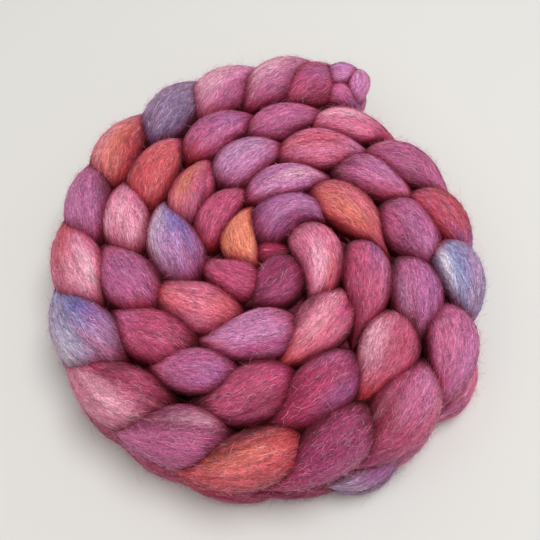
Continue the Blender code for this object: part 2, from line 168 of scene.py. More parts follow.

# Places where a second colour runs into a fold. Most are a dye that has run in. The wine spots on a fold's
# inner side, at turns of about 110 to 145, are painted shade where a neighbour presses on the fold; the
# orange on link 14's crest and the coral on link 19's are painted highlights; the coral on link 43's inner
# side and the pink on link 33's are painted light against the shade there. turn goes round the fold: 0 is its
# outer side, 90 its crest and 180 its inner side. long and wide are half sizes, along as a share of half the
# fold and round it in degrees.
SPOT_COLUMNS = ("link", "along", "turn", "long", "wide", "dye", "strength")
SPOTS = (
    (1, 0.00, 150, 0.70, 30, "lilac", 0.70),
    (2, 0.10, 60, 0.70, 34, "violet", 0.80),
    (4, -0.25, 93, 0.30, 28, "violet", 0.55),
    (4, 0.15, 140, 0.35, 24, "wine", 0.50),
    (5, 0.00, 60, 0.45, 28, "blush", 0.75),
    (5, 0.15, 140, 0.35, 24, "wine", 0.45),
    (6, 0.00, 62, 0.50, 30, "blush", 0.80),
    (7, 0.15, 128, 0.40, 32, "dusk", 0.60),
    (7, 0.00, 92, 0.60, 50, "dusk", 0.35),
    (8, -0.15, 134, 0.30, 34, "wine", 0.75),
    (8, 0.00, 60, 0.45, 24, "blush", 0.45),
    (8, 0.05, 86, 0.50, 30, "orange", 0.55),
    (8, 0.15, 126, 0.40, 26, "brick", 0.60),
    (9, -0.15, 140, 0.30, 26, "wine", 0.75),
    (9, 0.15, 50, 0.40, 30, "lilac", 0.85),
    (9, 0.15, 105, 0.35, 24, "dusk", 0.30),
    (10, -0.10, 60, 0.45, 22, "brick", 0.85),
    (10, 0.25, 108, 0.28, 11, "blush", 0.90),
    (10, 0.30, 85, 0.35, 28, "blush", 0.45),
    (11, -0.20, 118, 0.34, 34, "royal", 0.95),
    (11, 0.05, 112, 0.20, 22, "royal", 0.55),
    (11, 0.03, 48, 0.45, 30, "sky", 0.70),
    (11, 0.24, 105, 0.22, 24, "lilac", 0.60),
    (11, 0.15, 30, 0.30, 25, "cream", 0.50),
    (11, -0.10, 145, 0.35, 20, "mauve", 0.60),
    (11, 0.50, 80, 0.22, 40, "plum", 0.60),
    (12, -0.27, 79, 0.28, 9, "blush", 0.60),
    (12, 0.05, 64, 0.28, 9, "blush", 0.60),
    (12, 0.28, 52, 0.20, 10, "blush", 0.50),
    (12, -0.15, 122, 0.30, 30, "wine", 0.70),
    (12, -0.15, 20, 0.35, 25, "blush", 0.50),
    (12, 0.45, 78, 0.22, 32, "wine", 0.45),
    (13, -0.15, 112, 0.30, 28, "wine", 0.75),
    (13, 0.48, 105, 0.25, 34, "wine", 0.50),
    (13, 0.28, 116, 0.26, 13, "blush", 0.40),
    (14, -0.15, 92, 0.35, 22, "orange", 0.60),
    (14, 0.38, 80, 0.20, 40, "brick", 0.55),
    (14, 0.15, 15, 0.35, 22, "wine", 0.50),
    (14, 0.15, 138, 0.35, 22, "wine", 0.80),
    (14, -0.32, 118, 0.35, 28, "wine", 0.80),
    (15, -0.11, 32, 0.45, 18, "mauve", 0.65),
    (15, -0.15, 138, 0.30, 24, "wine", 0.70),
    (16, 0.30, 67, 0.22, 28, "lilac", 0.70),
    (16, -0.08, 84, 0.20, 22, "lilac", 0.55),
    (16, -0.28, 98, 0.20, 25, "brick", 0.50),
    (16, 0.30, 40, 0.35, 22, "pink", 0.50),
    (16, -0.30, 122, 0.35, 28, "wine", 0.75),
    (17, 0.00, 112, 0.35, 22, "pink", 0.50),
    (17, -0.15, 45, 0.40, 28, "lilac", 0.70),
    (18, 0.06, 122, 0.28, 11, "cream", 0.75),
    (18, 0.04, 92, 0.22, 20, "royal", 0.50),
    (18, -0.08, 62, 0.35, 20, "lilac", 0.60),
    (18, -0.45, 60, 0.20, 26, "slate", 0.80),
    (19, 0.00, 76, 0.40, 16, "coral", 0.70),
    (19, 0.05, 95, 0.50, 36, "mauve", 0.40),
    (20, -0.25, 140, 0.25, 24, "wine", 0.50),
    (21, 0.10, 72, 0.35, 13, "blush", 0.75),
    (23, -0.31, 98, 0.28, 26, "violet", 0.80),
    (24, 0.32, 80, 0.30, 30, "brick", 0.50),
    (25, 0.20, 88, 0.32, 13, "blush", 0.70),
    (25, 0.42, 98, 0.20, 30, "rose", 0.60),
    (25, 0.18, 42, 0.30, 22, "blush", 0.65),
    (25, 0.42, 125, 0.25, 30, "blush", 0.60),
    (26, 0.05, 95, 0.30, 24, "violet", 0.45),
    (26, 0.15, 138, 0.30, 22, "wine", 0.45),
    (28, 0.26, 67, 0.22, 26, "violet", 0.80),
    (29, -0.06, 30, 0.45, 13, "mauve", 0.65),
    (29, 0.15, 48, 0.30, 20, "wine", 0.45),
    (30, -0.45, 105, 0.22, 30, "wine", 0.35),
    (30, 0.15, 46, 0.28, 22, "violet", 0.80),
    (30, 0.45, 75, 0.22, 26, "plum", 0.70),
    (30, 0.45, 130, 0.25, 26, "lilac", 0.70),
    (31, 0.00, 128, 0.40, 26, "blush", 0.65),
    (31, 0.05, 72, 0.30, 24, "coral", 0.40),
    (31, 0.10, 66, 0.36, 28, "plum", 0.35),
    (32, -0.16, 80, 0.35, 24, "violet", 0.55),
    (32, 0.00, 130, 0.32, 18, "slate", 0.45),
    (32, 0.15, 48, 0.30, 25, "violet", 0.85),
    (32, -0.45, 105, 0.22, 24, "wine", 0.60),
    (33, -0.05, 104, 0.32, 24, "violet", 0.55),
    (33, 0.22, 120, 0.28, 18, "rose", 0.60),
    (33, 0.15, 162, 0.40, 22, "pink", 0.80),
    (33, -0.45, 75, 0.24, 28, "lilac", 0.60),
    (33, -0.15, 138, 0.26, 20, "wine", 0.35),
    (34, -0.25, 143, 0.30, 24, "brick", 0.50),
    (34, -0.15, 75, 0.30, 25, "lilac", 0.80),
    (34, 0.45, 105, 0.20, 30, "wine", 0.45),
    (35, 0.15, 82, 0.60, 16, "brick", 0.60),
    (36, 0.00, 75, 0.50, 24, "slate", 0.60),
    (37, -0.05, 66, 0.45, 26, "orange", 0.95),
    (37, 0.45, 100, 0.25, 40, "mauve", 0.60),
    (38, 0.07, 70, 0.36, 22, "sky", 0.75),
    (38, 0.46, 64, 0.14, 20, "wine", 0.65),
    (38, 0.44, 108, 0.16, 25, "plum", 0.60),
    (38, -0.08, 104, 0.40, 30, "royal", 0.90),
    (38, -0.15, 45, 0.35, 25, "cream", 0.50),
    (38, 0.20, 75, 0.25, 25, "lilac", 0.60),
    (39, -0.22, 75, 0.28, 30, "coral", 0.75),
    (39, 0.36, 91, 0.22, 45, "coral", 0.80),
    (40, 0.05, 52, 0.36, 10, "magenta", 0.85),
    (40, 0.50, 110, 0.22, 26, "rose", 0.60),
    (41, -0.10, 80, 0.50, 40, "coral", 0.50),
    (41, 0.35, 62, 0.20, 15, "magenta", 0.85),
    (41, 0.05, 96, 0.35, 18, "blush", 0.35),
    (41, 0.15, 140, 0.30, 22, "wine", 0.80),
    (42, 0.36, 62, 0.24, 22, "violet", 0.80),
    (42, 0.10, 42, 0.28, 22, "lilac", 0.60),
    (42, -0.20, 42, 0.28, 22, "pink", 0.50),
    (42, -0.45, 108, 0.22, 30, "wine", 0.50),
    (43, -0.15, 105, 0.55, 36, "orange", 0.55),
    (43, -0.10, 165, 0.60, 25, "coral", 0.80),
    (43, -0.20, 45, 0.45, 22, "wine", 0.40),
    (43, -0.48, 105, 0.18, 40, "brick", 0.60),
    (43, 0.00, 75, 0.35, 18, "pink", 0.50),
    (43, -0.72, 105, 0.18, 30, "pink", 0.75),
    (44, -0.20, 94, 0.28, 17, "blush", 0.60),
    (44, 0.08, 72, 0.26, 11, "violet", 0.85),
    (44, -0.26, 136, 0.16, 20, "violet", 0.60),
    (47, 0.15, 75, 0.35, 30, "wine", 0.40),
    (47, -0.15, 45, 0.30, 25, "mauve", 0.60),
    (48, -0.18, 94, 0.28, 18, "blush", 0.50),
    (48, -0.30, 60, 0.40, 17, "coral", 0.70),
    (49, 0.00, 92, 0.40, 20, "lilac", 0.75),
    (49, 0.10, 138, 0.32, 28, "plum", 0.80),
)

# Creases pressed into a fold by its neighbours and by its own twist, each along a straight way from one
# place to another. depth and width are real sizes.
CREASE_COLUMNS = ("link", "along_a", "turn_a", "along_b", "turn_b", "depth", "width")
CREASES = (
    (4, -0.30, 98, 0.15, 134, 0.0016, 0.0016),
    (5, 0.10, 128, 0.55, 98, 0.0014, 0.0016),
    (8, -0.40, 100, 0.30, 112, 0.0008, 0.0015),
    (10, -0.35, 78, 0.40, 84, 0.0014, 0.0016),
    (12, -0.40, 62, 0.35, 70, 0.0009, 0.0014),
    (12, -0.35, 92, 0.30, 98, 0.0008, 0.0014),
    (13, -0.40, 52, 0.20, 60, 0.0008, 0.0014),
    (14, -0.60, 52, 0.05, 38, 0.0012, 0.0014),
    (14, -0.25, 62, 0.50, 72, 0.0007, 0.0014),
    (29, -0.50, 40, 0.35, 44, 0.0012, 0.0015),
    (31, -0.30, 104, 0.40, 100, 0.0007, 0.0015),
    (33, 0.42, 108, -0.20, 136, 0.0020, 0.0018),
    (35, 0.50, 98, -0.55, 106, 0.0022, 0.0018),
    (36, -0.40, 96, 0.20, 100, 0.0009, 0.0014),
    (37, -0.45, 62, 0.20, 40, 0.0012, 0.0015),
    (37, -0.40, 116, 0.40, 120, 0.0010, 0.0014),
    (40, -0.30, 58, 0.40, 62, 0.0009, 0.0014),
    (41, 0.10, 74, 0.62, 70, 0.0012, 0.0015),
    (44, -0.35, 106, 0.30, 100, 0.0012, 0.0015),
    (50, 0.05, 112, 0.50, 98, 0.0009, 0.0014),
)

# Uneven values that run over the folds: the seed that is added to the fold's own, how fast the value changes
# along the fold and round it, and how many waves it is made of
UNEVEN = {
    "lumps": (1000, 1.1, 1.0, 5),
    "drift of locks": (2000, 1.2, 1.0, 4),
    "presence of locks": (3000, 1.5, 1.0, 4),
    "strands": (4000, 1.0, 11.0, 8),
    "ragged dye": (0, 0.8, 9.0, 8),
    "drifting dye": (1, 1.0, 1.5, 4),
    "spot along": (20, 0.9, 10.0, 8),
    "spot round": (40, 1.6, 5.0, 6),
    "streaks": (60, 0.7, 16.0, 10),
    "broad streaks": (61, 0.9, 4.0, 6),
    "felt": (77, 1.0, 6.0, 6),
}
LINK_SEED = 10               # between the seeds of one link and the next
LOWER_RELIEF_SEED = 5
UPPER_DYE_SEED = 3
LOWER_DYE_SEED = 7

# Locks of fibre with grooves between them, and creases
LOCKS_ROUND = (5, 8)         # from the first, and fewer than the second
LOCK_TWIST = 0.9             # most that the locks turn from a fold's middle to its end, radians
LOCK_DRIFT = 0.35
LOCK_PRESENCE = (0.55, 0.60)     # on average, and how much of the uneven value is added
CREASE_FADE = 1.6            # how fast a crease grows from its ends

# Dyes along a fold, and how they run into each other
START_DYE_ENDS = -0.70
END_DYE_STARTS = 0.25
DYE_BLEND = 0.50
DYE_RAGGED = 0.10
SPOT_RAGGED_ALONG = 0.12
SPOT_RAGGED_ROUND = 0.10
SPOT_FALL = 0.8
DYE_LIGHT = (0.90, 0.08, 0.08)   # plain, and the parts of the streaks and the broad streaks
# Pale streaks mix in the blush: partly paler fibres, partly painted glints of silky fibre
PALE_STREAKS = (0.10, 0.6, 0.6, 0.3)   # strength, part of the broad streaks, least streak and palest share

# The chain's inner loops fill it between the upper and the lower folds, and meet in a felted middle. The
# two folds that wrap the chain's end have none.
END_WRAPS = (1, 54)
INNER_LENGTH_SHARE = 0.42
INNER_WIDTH_SHARE = 0.42
INNER_THICKNESS = 0.012
INNER_OFFSET = -0.002
INNER_SIDES = 14
INNER_RINGS = 8
MIDDLE_RADIUS = 0.084
MIDDLE_LOW = 0.012
MIDDLE_HIGH = 0.028
MIDDLE_SIDES = 60
MIDDLE_RINGS = 12
MIDDLE_ROUNDNESS = 0.5       # of its rim
MIDDLE_PLUM = 0.7            # share of the plum dye's light that it keeps: darker, as painted shade
FELT_PACE = 30.0             # changes of the felt's dye for each metre

# The links of each turn, by number, in the order of the table
ALL_LINKS = tuple(range(1, len(LINKS) + 1))
LOW_FOLDS = (52, 53)
OUTER_TURN_BACK = tuple(range(1, 11)) + END_WRAPS[1:]
OUTER_TURN_FRONT = tuple(range(11, 22)) + LOW_FOLDS
OUTER_TURN = tuple(sorted(OUTER_TURN_BACK + OUTER_TURN_FRONT))
SECOND_TURN = tuple(range(22, 34))
INNER_TURNS = tuple(range(34, 52))

# Pieces of folds: the links that each shows, and if they are the lower folds
FOLD_PIECES = (
    ("upper_folds_outer_turn", OUTER_TURN, False),
    ("upper_folds_inner_turns", SECOND_TURN + INNER_TURNS, False),
    ("lower_folds", ALL_LINKS, True),
)

# Pieces of lying fibres: seed, the links that each covers, if they are the lower folds, and the share of the
# full density
FIBRE_PIECES = (
    ("lying_fibres_outer_turn_back", 1, OUTER_TURN_BACK, False, 1.0),
    ("lying_fibres_outer_turn_front", 11, OUTER_TURN_FRONT, False, 1.0),
    ("lying_fibres_second_turn", 22, SECOND_TURN, False, 1.0),
    ("lying_fibres_inner_turns", 34, INNER_TURNS, False, 1.0),
    ("lying_fibres_below", 301, OUTER_TURN, True, 0.4),
)
CM2_IN_M2 = 10000.0
FOLD_AREA_SHARE = 0.62       # of a round bar as long and wide as the fold
RAY_REACH = 0.08             # how far a fibre looks for wool above it
RAY_START = 0.0004
OFF_STEP = 0.001             # off a fold, to a second place that gives the direction straight off it
PLACE_ENDS = 0.97            # how far towards the tips fibres grow
PLACE_STEPS = 200
PLACE_HEIGHT = 0.0015        # no fibre grows lower than this
TUBE_CORNERS = 3

# Lying fibres, which bend once. A wild one lies across the others. A range is a share of the usual value.
LYING_PLACES = 3
LYING_ENDS = 0.985
LYING_LENGTHS = (0.5, 1.4)
LYING_LIFTS = (0.2, 1.0)
LYING_WIDTHS = (0.5, 1.4)
LYING_SLANT = 0.30
LYING_CURL = 0.8
LYING_DIP = 0.00008          # how deep both ends dip into the wool
LYING_LEAST_RADIUS = 0.003   # of the fold there, so that no fibre winds round its tip
WILD_SHARE = 0.16
WILD_SLANT = 1.4
WILD_LENGTH = 0.7
WILD_LIFT = 1.8
# Lying fibres are lighter or darker at random and some are whitened: partly fibres of their own tone, partly
# painted glints
LYING_LIGHT = (0.60, 0.7, 0.95)  # the darkest, and the form and scale of what is added
WHITE_SHARE = 0.12
WHITENESS = 0.45

# Fibres that stand off the folds. A range is a share of the usual value.
LOOSE_RISES = (0.15, 0.9)
LOOSE_WIDTHS = (0.6, 1.3)
LOOSE_TAPER = (1.2, 0.6)     # from the root to the tip
LOOSE_LENGTH_SPREAD = 0.4
LOOSE_HEADING = 0.8
LOOSE_BEND = 0.5
LOOSE_REACH_OUT = 0.9
LOOSE_REACH_ASIDE = 0.6
LOOSE_ROOT = 0.0002          # how deep it starts in the wool
# Loose fibres are lighter and paler than their fold: partly paler single fibres, partly painted light for the
# glow that thin fibres take on at the rim
LOOSE_LIGHT = 1.15
LOOSE_LEAST_PALE = 0.05
AHEAD_STEP = 0.03            # along the fold, to a second place that gives its direction

# Kinds of fibres that stand off the folds
#   places   along each fibre
#   rise     how far it stands off
#   curl     how far it curls back, 1 all the way
#   pale     how much of the blush the palest one has, partly painted light
#   rim      if it only grows on the outer side of the outer turn
LOOSE_COLUMNS = ("name", "seed", "places", "rise", "curl", "pale", "rim")
LOOSE_KINDS = (
    ("flyaway", 501, 6, 1.0, 0.85, 0.45, False),
    ("fuzz", 503, 3, 1.0, 0.45, 0.95, False),
    ("halo", 505, 3, 1.5, 0.40, 0.90, True),
)
RIM_TURNS = (-70.0, 80.0)
ALL_TURNS = (0.0, 360.0)

# How open a place lies, which sets the shade painted into the dye, is measured with rays from a net of places
# on each fold
OPEN_RINGS = 26
OPEN_SIDES = 36
OPEN_RAYS = 24
OPEN_REACH = 0.014
OPEN_START = 0.0010
OPEN_ENDS = 0.96             # how far towards the tips the rays start
OPEN_ACROSS = (0.31, 0.17, 0.93)       # a slanting direction, to start the fan of rays from
HIDDEN_OPENNESS = 0.3        # of the lower folds of the inner turns, which only show in deep crevices; it gives them deep painted shade
SHADE_POWER = 1.4
SHADE_DEEPENING = (0.90, 1.90, 1.65)   # the painted shade takes more from green and blue than from red

# Wool. The grain is noise stretched along the fibres: its changes for each metre along and across them, how
# fine and how bent it is, what sets it apart, its range, and the light at both ends of the range. The glints
# row lightens and darkens the colour in fine specks at random; its bright specks are painted glints.
SHEEN_TINT = (1.0, 0.70, 0.84, 1.0)
WOOL_SHINE = 0.34
FELT_SHINE = 0.05
FIBRE_SHINE = 0.36
NOISE_ROUGHNESS = 0.6
BUMP_STRENGTH = 0.6
GRAIN_COLUMNS = ("name", "along", "across", "detail", "bend", "offset", "low", "high", "dark", "bright")
GRAINS = (
    ("strands", 260.0, 1300.0, 3.0, 1.2, 0.0, 0.30, 0.70, 0.55, 1.62),
    ("locks", 30.0, 420.0, 2.0, 0.8, 3.0, 0.30, 0.70, 0.90, 1.10),
    ("glints", 1300.0, 1900.0, 2.0, 1.5, 7.0, 0.32, 0.68, 0.60, 1.57),
)
RAISED_GRAINS = ("strands", "glints")

# Studio. The camera's aim is given from the middle of the spiral, the lamps' places from that of the box.
CAMERA_AIM = (0.001, -0.008, 0.020)
CAMERA_DISTANCE = 0.330
CAMERA_ELEVATION = 62.0
CAMERA_LENS = 44.0
CAMERA_SENSOR = 36.0
CAMERA_CLIP = (0.01, 20.0)
FLOOR_SIZE = 6.0
FLOOR_DROP = 0.0002          # keeps the floor clear of the folds that rest on it
FLOOR_ROUGHNESS = 0.9
FLOOR_GLOSS = 0.2
ROOM_COLOUR = (1.0, 0.98, 0.945, 1.0)
LAMPS = (
    ("key light", (0.24, 0.03, 1.00), 0.55, "key_power"),
    ("fill light", (-0.50, -0.40, 0.80), 0.90, "fill_power"),
)


def rows_of(columns, rows, link=None):
    """The rows of a table with their columns' names, all of them or those of one link."""
    named = [dict(zip(columns, row)) for row in rows]
    return [row for row in named if link is None or row["link"] == link["number"]]


def link_rows(numbers):
    """The links with these numbers, in the order of the table."""
    return [dict(row, number=number) for number, row in enumerate(rows_of(LINK_COLUMNS, LINKS), 1)
            if number in numbers]


# ------------------------------------------------------------------ form of the folds

def uneven(name, seed, along, turn):
    """A smooth uneven value of about -1 to 1 that repeats round the fold, the same for the same seed."""
    own_seed, along_pace, turn_pace, waves = UNEVEN[name]
    draw = np.random.default_rng(seed + own_seed)
    total = np.zeros(np.broadcast(along, turn).shape)
    for _ in range(waves):
        round_waves = draw.integers(max(1, int(turn_pace * 0.5)), int(turn_pace * 1.6) + 2)
        along_waves = along_pace * draw.uniform(0.4, 1.5) * draw.choice((-1.0, 1.0))
        total += np.sin(round_waves * turn + along_waves * math.pi * along + draw.uniform(0.0, math.tau))
    return total / math.sqrt(waves * 2.0)


def unit(vectors):
    return vectors / np.maximum(np.linalg.norm(vectors, axis=-1, keepdims=True), 1e-9)


def taper(link, along):
    """Share of the full width at a place along the fold, 1 where it is fullest."""
    to_start = 1.0 + link["full"]
    to_end = 1.0 - link["full"]
    along = np.clip(along, -1.0, 1.0)
    return (((1.0 + along) / to_start) ** to_start * ((1.0 - along) / to_end) ** to_end) ** TAPER


def plan_of(link):
    """The fold's middle seen from above, and the directions along the fold and off its outer side."""
    at = math.radians(link["at"])
    heading = at + math.radians(90.0 + link["slant"])
    place = np.array((math.cos(at), math.sin(at))) * link["radius"]
    forward = np.array((math.cos(heading), math.sin(heading)))
    return place, forward, np.array((forward[1], -forward[0]))


def fold_middle(link, along, spread):
    """Places on the line through the middle of a fold."""
    place, forward, outward = plan_of(link)
    arch = 1.0 - along * along
    bow = link["bow"] + np.where(along < 0.0, START_TUCK, 0.0)
    reach = link["length"] / 2.0 + np.where(along < 0.0, START_REACH, 0.0)
    plan = (place + forward * (along * reach)[..., None]
            + outward * (spread * arch - bow * along * along)[..., None])
    crest = link["top"] - link["width"] * THICKNESS_SHARE / 2.0
    foot = link["top"] * (START_HEIGHT_SHARE + (END_HEIGHT_SHARE - START_HEIGHT_SHARE) * (along + 1.0) / 2.0)
    height = foot + (crest - foot) * arch
    return np.concatenate((plan, height[..., None]), axis=-1)


def crease_depth(link, along, turn):
    """How deep the link's creases cut at each place."""
    half_length = link["length"] / 2.0
    half_width = link["width"] / 2.0
    depth = np.zeros(np.broadcast(along, turn).shape)
    for crease in rows_of(CREASE_COLUMNS, CREASES, link):
        turn_a = math.radians(crease["turn_a"])
        turn_b = math.radians(crease["turn_b"])
        step = np.array(((crease["along_b"] - crease["along_a"]) * half_length,
                         (turn_b - turn_a) * half_width))
        across_along = (along - crease["along_a"]) * half_length
        across_turn = (turn - turn_a) * half_width
        share = (across_along * step[0] + across_turn * step[1]) / (step @ step)
        held = np.clip(share, 0.0, 1.0)
        away = np.hypot(across_along - held * step[0], across_turn - held * step[1])
        fade = np.clip(4.0 * held * (1.0 - held) * CREASE_FADE, 0.0, 1.0)
        depth += crease["depth"] * fade * np.exp(-(away / crease["width"]) ** 2)
    return depth


def relief(link, along, turn, sizes, lower):
    """Height of the wool over the plain fold: lumps, locks of fibre with grooves between them, creases."""
    seed = link["number"] * LINK_SEED + (LOWER_RELIEF_SEED if lower else 0)
    draw = np.random.default_rng(seed)
    locks = draw.integers(*LOCKS_ROUND)
    drift = draw.uniform(-LOCK_TWIST, LOCK_TWIST) * along
    drift = drift + LOCK_DRIFT * uneven("drift of locks", seed, along, turn)
    groove = 1.0 - np.abs(np.sin(locks * 0.5 * (turn + drift) + draw.uniform(0.0, math.pi)))
    average, varying = LOCK_PRESENCE
    present = np.clip(average + varying * uneven("presence of locks", seed, along, turn), 0.0, 1.0)
    height = (sizes.lump_depth * uneven("lumps", seed, along, turn)
              - sizes.lock_depth * groove ** 3 * present * 2.0
              + sizes.strand_depth * uneven("strands", seed, along, turn))
    if not lower:
        height = height - crease_depth(link, along, turn)
    return height * np.clip(taper(link, along) * TIP_FADE, 0.0, 1.0)


def fold_points(link, along, turn, lower=False, sizes=None, lift=0.0):
    """Places on a fold. Without sizes the fold is plain, as in the solid."""
    spread = LOWER_SPREAD if lower else 0.0
    ahead = fold_middle(link, along + STEP, spread) - fold_middle(link, along - STEP, spread)
    side = unit(np.cross(ahead, (0.0, 0.0, 1.0)))
    up = unit(np.cross(side, ahead))
    outward = side * np.cos(turn)[..., None] + up * (np.sin(turn) * THICKNESS_SHARE)[..., None]
    plain = link["width"] / 2.0 * taper(link, along)
    height = lift + (0.0 if sizes is None else relief(link, along, turn, sizes, lower))
    points = fold_middle(link, along, spread) + outward * plain[..., None]
    points = points + unit(outward) * np.broadcast_to(height, plain.shape)[..., None]
    if lower:
        points[..., 2] = link["top"] - PRESS_DEPTH - points[..., 2]
        points[..., 2] = np.maximum(points[..., 2], 0.0)
    return points


def coil_shift():
    """What brings the coil from the middle of its spiral to the middle of its box, as the solid has it."""
    along, turn = np.meshgrid(-np.cos(np.linspace(0.0, math.pi, 61)), np.linspace(0.0, math.tau, 49))
    cloud = np.concatenate([fold_points(link, along, turn, lower).reshape(-1, 3)
                            for link in link_rows(ALL_LINKS) for lower in (False, True)])
    middle = (cloud.min(axis=0) + cloud.max(axis=0)) / 2.0
    return np.array((-middle[0], -middle[1], 0.0))


COIL_SHIFT = coil_shift()


def skin(link, along, turn, lower, sizes, lift=0.0):
    """Places on or over a dressed fold, in the part's own frame."""
    return fold_points(link, along, turn, lower, sizes, lift) + COIL_SHIFT


def skin_and_outward(link, along, turn, lower, sizes, lift=0.0):
    """The same places, and the directions straight off the fold there."""
    places = skin(link, along, turn, lower, sizes, lift)
    return places, unit(skin(link, along, turn, lower, sizes, lift + OFF_STEP) - places)


# ------------------------------------------------------------------ dyes, with painted shade and highlights

def dye_colours(dyes_and_painted_light):
    """The dyes as linear colours."""
    return {name: np.array(Color(getattr(dyes_and_painted_light, name)).from_srgb_to_scene_linear()[:])
            for name in DYE_DEFAULTS}


def ease(value, start, width):
    """Share that grows smoothly from 0 at start to 1 over the width, as a column for colours."""
    share = np.clip((value - start) / width, 0.0, 1.0)
    return (share * share * (3.0 - 2.0 * share))[..., None]


def mixed(first, second, share):
    """From the first at a share of 0 to the second at 1."""
    return first * (1.0 - share) + second * share


def spot_share(spot, seed, along, turn):
    """How much of the spot's colour, dye and painted light alike, reaches each place."""
    rough_along = along + SPOT_RAGGED_ALONG * uneven("spot along", seed, along, turn)
    rough_turn = turn + SPOT_RAGGED_ROUND * uneven("spot round", seed, along, turn)
    away = (((rough_along - spot["along"]) / spot["long"]) ** 2
            + ((rough_turn - math.radians(spot["turn"])) / math.radians(spot["wide"])) ** 2)
    return (spot["strength"] * np.exp(-away * SPOT_FALL))[..., None]


def dye_and_painted_light_at(link, along, turn, colours, lower):
    """Colour of the wool at each place of a fold: its dyes, and the painted shade and highlights of some
    spots and streaks.
    """
    seed = link["number"] * LINK_SEED + (LOWER_DYE_SEED if lower else UPPER_DYE_SEED)
    ragged = (along + DYE_RAGGED * uneven("ragged dye", seed, along, turn)
              + DYE_RAGGED * uneven("drifting dye", seed, along, turn))
    if lower:
        body = end = colours[link["under"]]
        start = mixed(body, colours[link["start"]], 0.5)
    else:
        start, body, end = (colours[link[part]] for part in ("start", "body", "end"))
    colour = mixed(start, body, ease(ragged, START_DYE_ENDS, DYE_BLEND))
    colour = mixed(colour, end, ease(ragged, END_DYE_STARTS, DYE_BLEND))
    if not lower:
        for count, spot in enumerate(rows_of(SPOT_COLUMNS, SPOTS, link)):
            colour = mixed(colour, colours[spot["dye"]], spot_share(spot, seed + count, along, turn))
    streak = uneven("streaks", seed, along, turn)
    broad = uneven("broad streaks", seed, along, turn)
    plain, streak_light, broad_light = DYE_LIGHT
    colour = colour * (plain + streak_light * streak + broad_light * broad)[..., None]
    strength, broad_part, least, palest = PALE_STREAKS
    pale = np.clip(strength * (streak + broad_part * broad - least), 0.0, palest)[..., None]
    return np.clip(mixed(colour, colours["blush"], pale), 0.0, 1.0)


# ------------------------------------------------------------------ painted shade between the folds

OPENNESS = {}                # the maps of all folds, by link number and True for a lower fold


def ray_fan():
    """Directions spread over the half space above +Z, more of them near +Z."""
    count = np.arange(OPEN_RAYS) + 0.5
    away = np.sqrt(count / OPEN_RAYS)
    angle = count * math.pi * (3.0 - math.sqrt(5.0))
    return np.column_stack((away * np.cos(angle), away * np.sin(angle), np.sqrt(1.0 - away * away)))


def openness_map(link, lower, surface, sizes):
    """How open a net of places on a fold lies, from 0 in a closed crevice to 1 in the open."""
    along, turn = np.meshgrid(np.linspace(-1.0, 1.0, OPEN_RINGS),
                              np.linspace(0.0, math.tau, OPEN_SIDES + 1), indexing="ij")
    places, outward = skin_and_outward(link, np.clip(along, -OPEN_ENDS, OPEN_ENDS), turn, lower, sizes)
    across = unit(np.cross(outward, OPEN_ACROSS))
    rays = ray_fan()
    free = np.zeros(along.shape)
    for ring, side in np.ndindex(OPEN_RINGS, OPEN_SIDES):
        out = outward[ring, side]
        axes = np.stack((across[ring, side], np.cross(out, across[ring, side]), out))
        start = Vector(places[ring, side] + out * OPEN_START)
        for ray in rays @ axes:
            distance = surface.ray_cast(start, Vector(ray), OPEN_REACH)[3]
            free[ring, side] += 1.0 if distance is None else distance / OPEN_REACH
    once = free[:, :-1]
    free[:, :-1] = (2.0 * once + np.roll(once, 1, axis=1) + np.roll(once, -1, axis=1)) / 4.0
    free[1:-1] = (2.0 * free[1:-1] + free[:-2] + free[2:]) / 4.0
    free[:, -1] = free[:, 0]
    return free / OPEN_RAYS


def openness_at(number, lower, along, turn):
    """How open each place of a link's fold lies, read between the nearest points of its map."""
    if not OPENNESS:
        raise RuntimeError("shade the folds before laying fibres on them")
    net = OPENNESS[number, lower]
    ring = np.clip((along + 1.0) / 2.0, 0.0, 1.0) * (OPEN_RINGS - 1)
    side = (np.asarray(turn) % math.tau) / math.tau * OPEN_SIDES
    low_ring = np.minimum(ring.astype(int), OPEN_RINGS - 2)
    low_side = np.minimum(side.astype(int), OPEN_SIDES - 1)
    up = ring - low_ring
    right = side - low_side
    near = mixed(net[low_ring, low_side], net[low_ring, low_side + 1], right)
    far = mixed(net[low_ring + 1, low_side], net[low_ring + 1, low_side + 1], right)
    return mixed(near, far, up)


def light_left(openness, sizes):
    """Share of the light that the painted shade leaves at a place, 1 in the open."""
    shade = np.clip((openness - sizes.shade_start) / (sizes.shade_end - sizes.shade_start), 0.0, 1.0)
    return sizes.shade_depth + (1.0 - sizes.shade_depth) * shade ** SHADE_POWER


def shaded(colour, openness, sizes):
    """The dye with shade painted in, deeper and darker where the folds press together, and in alpha the share
    of light left.
    """
    left = light_left(openness, sizes)
    return np.column_stack((colour * left[:, None] ** np.array(SHADE_DEEPENING), left))


def shade_piece(name, numbers, lower, sizes):
    """Paint shade into the dye of a piece of folds by how open each of its points lies."""
    along, turn, _ = sphere_grid(*fold_facets(sizes, lower))
    openness = np.concatenate([openness_at(number, lower, along, turn) for number in numbers])
    dye = bpy.data.objects[name].data.color_attributes["dye"]
    colour = np.empty(len(dye.data) * 4, np.float32)
    dye.data.foreach_get("color", colour)
    colour = shaded(colour.reshape(-1, 4)[:, :3], openness, sizes)
    dye.data.foreach_set("color", colour.astype(np.float32).ravel())


# ------------------------------------------------------------------ meshes

def fold_facets(sizes, lower):
    """Rings and sides of a fold's mesh."""
    part, whole = LOWER_FACETS if lower else (1, 1)
    return sizes.fold_rings * part // whole, sizes.fold_sides * part // whole


